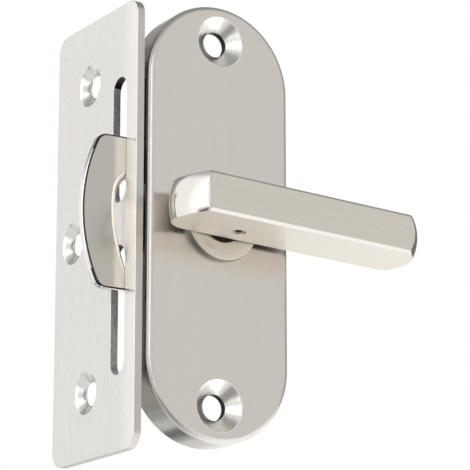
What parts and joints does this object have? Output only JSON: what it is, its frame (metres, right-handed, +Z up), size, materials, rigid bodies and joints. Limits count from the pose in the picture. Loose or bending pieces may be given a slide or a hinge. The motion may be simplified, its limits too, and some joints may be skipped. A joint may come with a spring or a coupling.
{
  "type": "right angle door latch",
  "caption": "Surface latch with a finger lever on a shallow obround case; the lever swings a half moon hook bolt through a slotted edge plate set square to the case.",
  "frame": {"origin": "on the spindle axis, in the mounting plane at the back rim of the case, half way between the two case screws", "axes": "+Z up along the case, +Y into the door at right angles to the mounting plane, +X towards the free end of the lever, so the hook points along -X"},
  "size_m": [0.0687, 0.0505, 0.0921],
  "materials": {
    "case_steel": "brushed along the height, polished rim",
    "collar_steel": "fine turned face, polished edge",
    "lever_steel": "brushed along the length, polished ends",
    "hook_steel": "satin face, polished edge",
    "strike_steel": "fine brushed face, polished edge",
    "inner_steel": "plain pressed steel",
    "pin_steel": "turned",
    "spring_steel": "tempered",
    "screw_steel": "dark satin",
    "bush_brass": "turned",
    "washer_nylon": "matte",
    "keeper_black": "matt black"
  },
  "bodies": {
    "case": {"housing_shell": "case_steel", "backing_plate": "inner_steel", "rosette_collar": "collar_steel", "spindle_bush": "bush_brass", "bush_retaining_ring": "inner_steel", "spring_washer": "spring_steel", "thrust_washer": "inner_steel", "stop_pins": "pin_steel", "detent_spring": "spring_steel", "spring_rivet": "pin_steel", "hook_keeper": "keeper_black", "strike_plate": "strike_steel"},
    "lever_and_hook": {"lever_handle": "lever_steel", "lever_grub_screw": "screw_steel", "lever_washer": "washer_nylon", "spindle": "pin_steel", "drive_hub": "inner_steel", "hub_rivets": "pin_steel", "hook_bolt": "hook_steel"}
  },
  "joints": [
    {"name": "lever_turn", "type": "hinge", "parent": "case", "child": "lever_and_hook", "pos_m": [0, -0.0073, 0], "axis": [0, 1, 0], "range_deg": [0, 88]}
  ]
}
